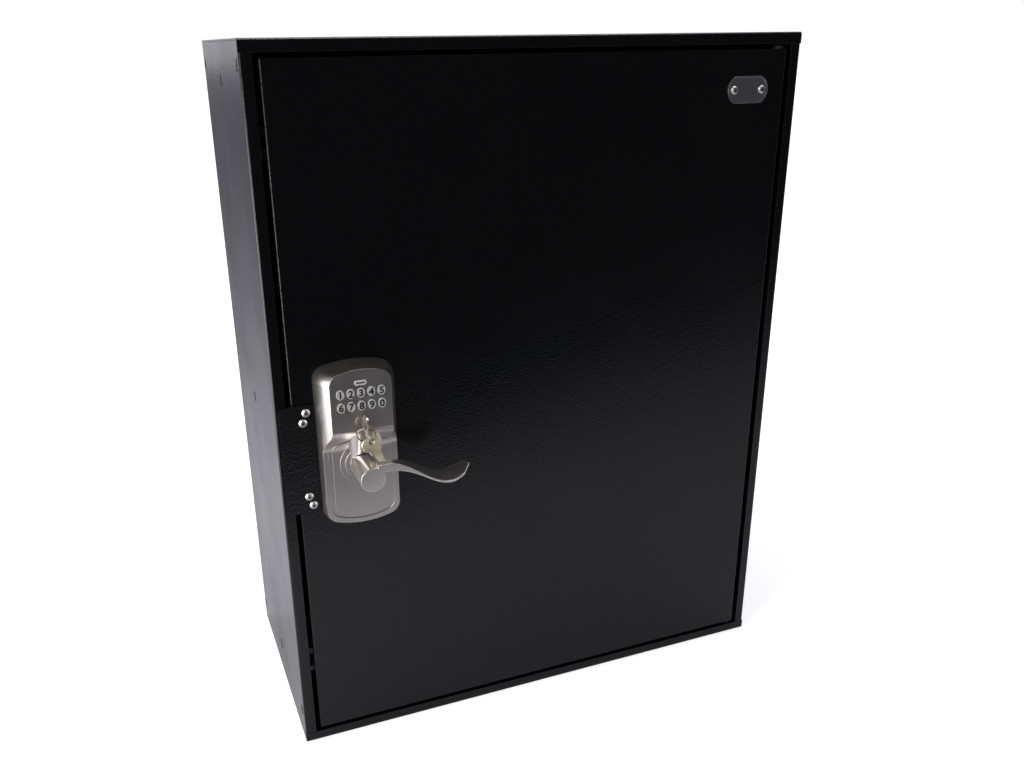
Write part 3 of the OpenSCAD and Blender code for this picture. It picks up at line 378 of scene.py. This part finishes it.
@dataclass
class Workshop:
    """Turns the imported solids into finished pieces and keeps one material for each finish."""

    materials: dict[str, bpy.types.Material] = field(default_factory=dict)
    slots: dict[str, str] = field(default_factory=dict)
    merge_mm: float = 0.004
    flat_deg: float = 0.3
    sharp_deg: float = 32.0
    shade_deg: float = 40.0
    normal_weight: int = 100

    def __post_init__(self) -> None:
        """Read which material slot each node takes."""
        self.slots = {s["node"]: s["material_slot"] for s in frame["record"]["subparts"]}

    def finish(self, finish: PowderCoat | Metal | Moulded) -> bpy.types.Material:
        """Give the material of a finish, made once.

        Args:
            finish: the finish that is wanted.

        Returns:
            Its material.
        """
        if finish.name not in self.materials:
            self.materials[finish.name] = finish.material()
        return self.materials[finish.name]

    def piece(self, name: str, bm: bmesh.types.BMesh, finish: PowderCoat | Metal | Moulded,
              node: str) -> bpy.types.Object:
        """Make a bmesh into an object that rides with a node's body.

        Args:
            name: the object's name.
            bm: the shape in metres, which is freed.
            finish: the finish of the surface.
            node: the node that it belongs to.

        Returns:
            The new object.
        """
        mesh = bpy.data.meshes.new(name)
        for face in bm.faces:
            face.smooth = True
        bm.to_mesh(mesh)
        bm.free()
        mesh.set_sharp_from_angle(angle=math.radians(self.shade_deg))
        mesh.materials.append(self.finish(finish))
        made = bpy.data.objects.new(name, mesh)
        bpy.context.scene.collection.objects.link(made)
        shade = made.modifiers.new("flat_faces_stay_flat", "WEIGHTED_NORMAL")
        shade.mode = "FACE_AREA"
        shade.weight = self.normal_weight
        shade.keep_sharp = True
        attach(made, frame["nodes"][node]["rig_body"])
        log.info("%s: %d faces", name, len(mesh.polygons))
        return made

    def welded_copy(self, node: str) -> bmesh.types.BMesh:
        """Copy a node's solid with its doubled corners merged.

        Args:
            node: the node's name.

        Returns:
            The copied shape.
        """
        bm = bmesh.new()
        bm.from_mesh(frame["nodes"][node].data)
        bmesh.ops.remove_doubles(bm, verts=bm.verts, dist=self.merge_mm * MM)
        return bm

    def clean_copy(self, node: str) -> bmesh.types.BMesh:
        """Copy a node's solid and merge its loose triangles into whole faces.

        Args:
            node: the node's name.

        Returns:
            The merged shape.
        """
        bm = self.welded_copy(node)
        bmesh.ops.dissolve_limit(bm, angle_limit=math.radians(self.flat_deg), verts=bm.verts,
                                 edges=bm.edges, use_dissolve_boundaries=False)
        return bm

    def soften(self, bm: bmesh.types.BMesh, radius_mm: float, segments: int) -> None:
        """Round the sharp edges of a shape.

        Args:
            bm: the shape.
            radius_mm: how far the rounding reaches from each edge.
            segments: how many faces a rounding has across.
        """
        limit = math.radians(self.sharp_deg)
        sharp = [e for e in bm.edges if len(e.link_faces) == 2 and e.calc_face_angle(0.0) > limit]
        bmesh.ops.bevel(bm, geom=sharp, offset=radius_mm * MM, offset_type="OFFSET", affect="EDGES",
                        segments=segments, profile=0.5, material=-1, clamp_overlap=True)

    def dress(self, node: str, finish: PowderCoat | Metal | Moulded, radius_mm: float = 0.0,
              segments: int = 2) -> None:
        """Replace a node by a copy with whole faces, rounded edges and its finish.

        Args:
            node: the node's name.
            finish: the finish of the surface.
            radius_mm: the rounding of its sharp edges, or 0 for none.
            segments: how many faces a rounding has across.
        """
        bm = self.clean_copy(node)
        if radius_mm > 0:
            self.soften(bm, radius_mm, segments)
        made = self.piece(f"{node}_finished", bm, finish, node)
        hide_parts(node)


@dataclass
class Cabinet:
    """The welded steel case with its hook panel, ramp, strike and pivots."""

    shop: Workshop
    sheet_edge_mm: float = 0.35
    bracket_edge_mm: float = 0.3

    def build(self) -> None:
        """Make every piece of the cabinet."""
        for node in ("top_panel", "bottom_panel", "left_side_panel", "right_side_panel", "back_panel",
                     "hook_panel", "drop_ramp"):
            self.shop.dress(node, POWDER, self.sheet_edge_mm)
        for node in ("strike_bracket", "door_stops"):
            self.shop.dress(node, ZINC, self.bracket_edge_mm)
        for node in ("pivot_bracket_top", "pivot_bracket_bottom"):
            self.shop.dress(node, BLACKENED, self.bracket_edge_mm)
        self.shop.dress("key_hooks", ZINC)
        self.shop.dress("door_bumpers", RUBBER, self.bracket_edge_mm)
        self.shop.dress("pivot_pins", BLACKENED)
        self.shop.dress("pivot_washers", RUBBER)


@dataclass
class Door:
    """The inset steel door with its stiffener, lock box, guard plate and bare badge plate."""

    shop: Workshop
    sheet_edge_mm: float = 0.8
    plate_edge_mm: float = 0.5
    badge_edge_mm: float = 0.3
    screw_edge_mm: float = 0.15
    head_mm: float = 6.0
    rim_depth_mm: float = 0.1
    socket_mm: float = 1.25
    socket_proud_mm: float = 0.02
    socket_sides: int = 20

    def build(self) -> None:
        """Make every piece of the door."""
        for node in ("door_pan", "door_stiffener", "lock_box"):
            self.shop.dress(node, POWDER, self.sheet_edge_mm)
        self.shop.dress("guard_plate", GUARD_COAT, self.plate_edge_mm, 3)
        self.shop.dress("pivot_blocks", BLACKENED, self.sheet_edge_mm)
        self.shop.dress("badge_plate", BADGE, self.badge_edge_mm, 3)
        for node in ("guard_screws", "badge_screws"):
            self.shop.dress(node, SCREW, self.screw_edge_mm)
            self.shade_sockets(node)

    def shade_sockets(self, node: str) -> None:
        """Close the drive socket of each screw with a dark disc of painted shade, as no light gets down to
        its floor.

        Args:
            node: the node with the screws.
        """
        shape = self.shop.welded_copy(node)
        front = min(v.co.y for v in shape.verts)
        rims = [v.co.copy() for v in shape.verts if v.co.y < front + self.rim_depth_mm * MM]
        shape.free()
        facing_front = Matrix.Rotation(math.pi / 2, 4, "X")
        bm = bmesh.new()
        while rims:
            screw = [c for c in rims if (c - rims[0]).length < self.head_mm * MM]
            rims = [c for c in rims if (c - rims[0]).length >= self.head_mm * MM]
            middle = sum(screw, Vector()) / len(screw)
            middle.y = front - self.socket_proud_mm * MM
            # Each disc is painted shade: a dark sheet in front of the head where the socket's floor lies in
            # shade
            bmesh.ops.create_circle(bm, cap_ends=True, segments=self.socket_sides,
                                    radius=self.socket_mm * MM,
                                    matrix=Matrix.Translation(middle) @ facing_front)
        self.shop.piece(f"{node}_sockets", bm, INK_AND_SOCKET_SHADE, node)


@dataclass
class KeypadLock:
    """The cast escutcheon with its buttons and cylinder, and what backs it inside the door."""

    shop: Workshop
    cast_edge_mm: float = 0.9
    button_edge_mm: float = 0.85
    lens_edge_mm: float = 0.2
    lens_rim_mm: float = 1.5
    lens_steps: int = 16
    cylinder_edge_mm: float = 0.3
    plug_edge_mm: float = 0.2
    latch_edge_mm: float = 0.3
    turned_edge_mm: float = 0.2
    inside_edge_mm: float = 0.5
    battery_edge_mm: float = 0.8
    digit_mm: float = 7.0
    digit_share: float = 0.7
    digit_weight_mm: float = 0.33
    digit_proud_mm: float = 0.05
    digit_steps: int = 5
    digit_merge_mm: float = 0.001
    digits: tuple[int, ...] = (1, 2, 3, 4, 5, 6, 7, 8, 9, 0)

    def build(self) -> None:
        """Make every piece of the lock."""
        self.shop.dress("escutcheon", NICKEL, self.cast_edge_mm, 3)
        self.shop.dress("blank_lens", LENS, self.lens_edge_mm, 3)
        self.darken_lens()
        for digit in self.digits:
            self.shop.dress(f"button_{digit}", BUTTON, self.button_edge_mm, 3)
            self.print_digit(digit)
        self.shop.dress("lock_cylinder", CYLINDER, self.cylinder_edge_mm, 3)
        self.shop.dress("key_plug", CYLINDER, self.plug_edge_mm)
        self.shop.dress("button_membrane", RUBBER)
        self.shop.dress("circuit_board", BOARD)
        for node in ("latch_housing", "latch_faceplate", "latch_bolt", "latch_cam", "spindle"):
            self.shop.dress(node, ZINC, self.latch_edge_mm)
        self.shop.dress("mounting_bolts", SCREW, self.turned_edge_mm)
        for node in ("outer_bush", "inner_bush"):
            self.shop.dress(node, NYLON, self.turned_edge_mm)
        for node in ("inside_plate", "battery_cover", "thumb_turn"):
            self.shop.dress(node, NICKEL, self.inside_edge_mm, 3)
        self.shop.dress("battery", BATTERY, self.battery_edge_mm, 3)

    def darken_lens(self) -> None:
        """Lay a dark middle of painted shade, for the dark space behind the clear lens, in its clear rim."""
        low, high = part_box("blank_lens")
        reach = (high.z - low.z) / 2 - self.lens_rim_mm * MM
        half = (high.x - low.x) / 2 - self.lens_rim_mm * MM - reach
        turns = [math.pi * (i / self.lens_steps - 0.5) for i in range(self.lens_steps + 1)]
        rim = [(half + reach * math.cos(t), reach * math.sin(t)) for t in turns]
        rim += [(-x, -z) for x, z in rim]
        middle = (low + high) / 2
        face_y = low.y - self.digit_proud_mm * MM
        bm = bmesh.new()
        front = [bm.verts.new((middle.x + x, face_y, middle.z + z)) for x, z in rim]
        back = [bm.verts.new((v.co.x, middle.y, v.co.z)) for v in front]
        bm.faces.new(front)
        bm.faces.new(back[::-1])
        for i, v in enumerate(front):
            j = (i + 1) % len(front)
            bm.faces.new((front[j], v, back[i], back[j]))
        bmesh.ops.recalc_face_normals(bm, faces=bm.faces)
        # The middle is an opaque dark disc of painted shade, not a tint of the acrylic
        self.shop.piece("lens_middle", bm, LENS_SHADE, "blank_lens")

    def print_digit(self, digit: int) -> None:
        """Print a plain digit on the front of its button.

        Args:
            digit: the digit, 0 to 9.
        """
        low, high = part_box(f"button_{digit}")
        curve = bpy.data.curves.new(f"digit_{digit}_outline", "FONT")
        curve.body = str(digit)
        curve.size = self.digit_mm * MM / self.digit_share
        curve.offset = self.digit_weight_mm * MM
        curve.extrude = self.digit_proud_mm * MM
        curve.resolution_u = self.digit_steps
        holder = bpy.data.objects.new(f"digit_{digit}_outline", curve)
        bpy.context.scene.collection.objects.link(holder)
        bpy.context.view_layer.update()
        bm = bmesh.new()
        bm.from_mesh(bpy.data.meshes.new_from_object(holder))
        bpy.data.objects.remove(holder)
        bmesh.ops.remove_doubles(bm, verts=bm.verts, dist=self.digit_merge_mm * MM)
        corners = [v.co for v in bm.verts]
        middle = Vector([(min(c[i] for c in corners) + max(c[i] for c in corners)) / 2 for i in range(3)])
        bmesh.ops.translate(bm, verts=bm.verts, vec=-middle)
        bmesh.ops.rotate(bm, verts=bm.verts, matrix=Matrix.Rotation(math.pi / 2, 3, "X"))
        bmesh.ops.translate(bm, verts=bm.verts, vec=((low.x + high.x) / 2, low.y, (low.z + high.z) / 2))
        self.shop.piece(f"digit_{digit}", bm, INK_AND_SOCKET_SHADE, f"button_{digit}")


@dataclass
class Levers:
    """The outer and inside levers on the spindle."""

    shop: Workshop
    cast_edge_mm: float = 0.8

    def build(self) -> None:
        """Make both levers."""
        for node in ("outer_lever", "inside_lever"):
            # The levers take the brightened copy of the casting's plating, which is painted light
            self.shop.dress(node, LIT_NICKEL_LEVER, self.cast_edge_mm, 4)


@dataclass
class Keys:
    """The key in the cylinder, its ring and the spare key."""

    shop: Workshop
    cut_edge_mm: float = 0.2

    def build(self) -> None:
        """Make the keys and the ring."""
        self.shop.dress("cylinder_key", PLATED_KEY, self.cut_edge_mm)
        self.shop.dress("spare_key", KEY_METAL, self.cut_edge_mm)
        self.shop.dress("key_ring", RING_WIRE)


@dataclass(frozen=True)
class SoftBox:
    """One rectangular soft box."""

    name: str
    place: tuple[float, float, float]
    aim: tuple[float, float, float]
    size: tuple[float, float]
    watts: float

    def hang(self) -> None:
        """Hang the lamp in its place, facing its aim."""
        data = bpy.data.lights.new(self.name, "AREA")
        data.shape = "RECTANGLE"
        data.size, data.size_y = self.size
        data.energy = self.watts
        lamp = bpy.data.objects.new(self.name, data)
        turn = (Vector(self.aim) - Vector(self.place)).to_track_quat("-Z", "Y").to_matrix().to_4x4()
        lamp.matrix_world = Matrix.Translation(self.place) @ turn
        bpy.context.scene.collection.objects.link(lamp)


SOFT_BOXES = (
    SoftBox("left_soft_box", (-1.9, -0.9, 1.5), (0.0, -0.1, 0.4), (1.0, 1.4), 38.0),
    SoftBox("top_soft_box", (0.3, 0.1, 2.4), (0.0, 0.0, 0.3), (1.6, 1.6), 34.0),
    SoftBox("low_left_soft_box", (-1.15, -0.15, 0.33), (-0.26, -0.16, 0.4), (1.4, 0.6), 13.0),
)


@dataclass
class Studio:
    """The camera, the pale floor, the lamps and the white surroundings."""

    eye: tuple[float, float, float] = (-0.4206, -1.0331, 0.7550)
    yaw_deg: float = -21.138
    pitch_deg: float = -21.190
    roll_deg: float = -0.818
    focal_px: float = 936.81
    centre_px: tuple[float, float] = (483.04, 406.18)
    sensor_mm: float = 36.0
    nearest: float = 0.02
    floor_front: float = -0.77
    floor_reach: float = 20.0
    floor_drop: float = 0.0002
    floor_colour: str = "#c4c3c9"
    lift_near: float = 0.6
    lift_far: float = 1.0
    near_m: float = 0.5
    far_m: float = 1.9
    fill_level: float = 0.42
    front_level: float = 0.07
    back_level: float = 0.9
    sweep_start: float = -0.45
    sweep_end: float = 0.25
    world_tint: str = "#f1f0fa"

    def camera(self) -> None:
        """Stand the camera where the photograph was taken."""
        yaw, pitch, roll = (math.radians(a) for a in (self.yaw_deg, self.pitch_deg, self.roll_deg))
        ahead = Vector((-math.sin(yaw) * math.cos(pitch), math.cos(yaw) * math.cos(pitch), math.sin(pitch)))
        level = Vector((math.cos(yaw), math.sin(yaw), 0.0))
        upright = level.cross(ahead)
        right = math.cos(roll) * level + math.sin(roll) * upright
        up = -math.sin(roll) * level + math.cos(roll) * upright
        data = bpy.data.cameras.new("camera")
        data.sensor_width = self.sensor_mm
        data.lens = self.focal_px * self.sensor_mm / IMAGE_W
        data.shift_x = (IMAGE_W / 2 - self.centre_px[0]) / IMAGE_W
        data.shift_y = (self.centre_px[1] - IMAGE_H / 2) / IMAGE_W
        data.clip_start = self.nearest
        camera = bpy.data.objects.new("camera", data)
        camera.matrix_world = Matrix.Translation(self.eye) @ Matrix((right, up, -ahead)).transposed().to_4x4()
        bpy.context.scene.collection.objects.link(camera)
        bpy.context.scene.camera = camera

    def floor(self) -> None:
        """Lay a pale floor, which meets the white surroundings without a line."""
        bm = bmesh.new()
        bmesh.ops.create_grid(bm, x_segments=1, y_segments=1, size=self.floor_reach)
        middle_y = self.floor_reach + self.floor_front
        bmesh.ops.translate(bm, verts=bm.verts, vec=(0, middle_y, -self.floor_drop))
        square_to_eye = Matrix.Rotation(math.radians(self.yaw_deg), 3, "Z")
        bmesh.ops.rotate(bm, verts=bm.verts, matrix=square_to_eye)
        mesh = bpy.data.meshes.new("floor")
        bm.to_mesh(mesh)
        bm.free()
        material, tree, place = new_material("pale_floor")
        path = add_node(tree, "ShaderNodeLightPath")
        away = add_node(tree, "ShaderNodeVectorMath", {"operation": "LENGTH"}, {0: place})
        # White paper that is blown out to pure white a step away from the cabinet
        blown = add_node(tree, "ShaderNodeMapRange", {"interpolation_type": "SMOOTHSTEP"}, {
            "Value": away.outputs["Value"], "From Min": self.near_m, "From Max": self.far_m,
            "To Min": self.lift_near, "To Max": self.lift_far})
        paint = add_node(tree, "ShaderNodeBsdfDiffuse", inputs={"Color": linear(self.floor_colour)})
        lift = add_node(tree, "ShaderNodeMath", {"operation": "MULTIPLY"}, {
            0: path.outputs["Is Camera Ray"], 1: blown.outputs["Result"]})
        glow = add_node(tree, "ShaderNodeEmission", inputs={"Strength": lift.outputs["Value"]})
        both = add_node(tree, "ShaderNodeAddShader", inputs={
            0: paint.outputs["BSDF"], 1: glow.outputs["Emission"]})
        add_node(tree, "ShaderNodeOutputMaterial", inputs={"Surface": both.outputs["Shader"]})
        mesh.materials.append(material)
        floor = bpy.data.objects.new("floor", mesh)
        bpy.context.scene.collection.objects.link(floor)

    def surroundings(self) -> None:
        """Make the world white to the eye, with a bright sweep behind the object and a dim room in front."""
        world = bpy.data.worlds.new("studio")
        world.use_nodes = True
        tree = world.node_tree
        tree.nodes.clear()
        path = add_node(tree, "ShaderNodeLightPath")
        way = add_node(tree, "ShaderNodeTexCoord").outputs["Generated"]
        split = add_node(tree, "ShaderNodeSeparateXYZ", inputs={"Vector": way})
        sweep = add_node(tree, "ShaderNodeMapRange", {"interpolation_type": "SMOOTHSTEP"}, {
            "Value": split.outputs["Y"], "From Min": self.sweep_start, "From Max": self.sweep_end,
            "To Min": self.front_level, "To Max": self.back_level})
        shiny = add_node(tree, "ShaderNodeMix", {"data_type": "FLOAT"}, {
            0: path.outputs["Is Glossy Ray"], 2: self.fill_level, 3: sweep.outputs["Result"]})
        seen = add_node(tree, "ShaderNodeMath", {"operation": "MAXIMUM"}, {
            0: path.outputs["Is Camera Ray"], 1: path.outputs["Is Transmission Ray"]})
        level = add_node(tree, "ShaderNodeMix", {"data_type": "FLOAT"}, {
            0: seen.outputs["Value"], 2: shiny.outputs[0], 3: 1.0})
        tint = two_tones(tree, seen.outputs["Value"], self.world_tint, "#ffffff")
        back = add_node(tree, "ShaderNodeBackground", inputs={"Color": tint, "Strength": level.outputs[0]})
        add_node(tree, "ShaderNodeOutputWorld", inputs={"Surface": back.outputs["Background"]})
        bpy.context.scene.world = world

    def build(self) -> None:
        """Set up the camera, the floor and the light."""
        self.camera()
        self.floor()
        self.surroundings()
        for box in SOFT_BOXES:
            box.hang()
        bpy.context.scene.view_settings.view_transform = "Standard"


def main() -> None:
    """Build the studio and every piece, in order."""
    logging.basicConfig(level=logging.INFO, format="%(name)s: %(message)s")
    Studio().build()
    shop = Workshop()
    for part in (Cabinet(shop), Door(shop), KeypadLock(shop), Levers(shop), Keys(shop)):
        part.build()
        log.info("%s is done", type(part).__name__)


if __name__ == "__main__":
    main()
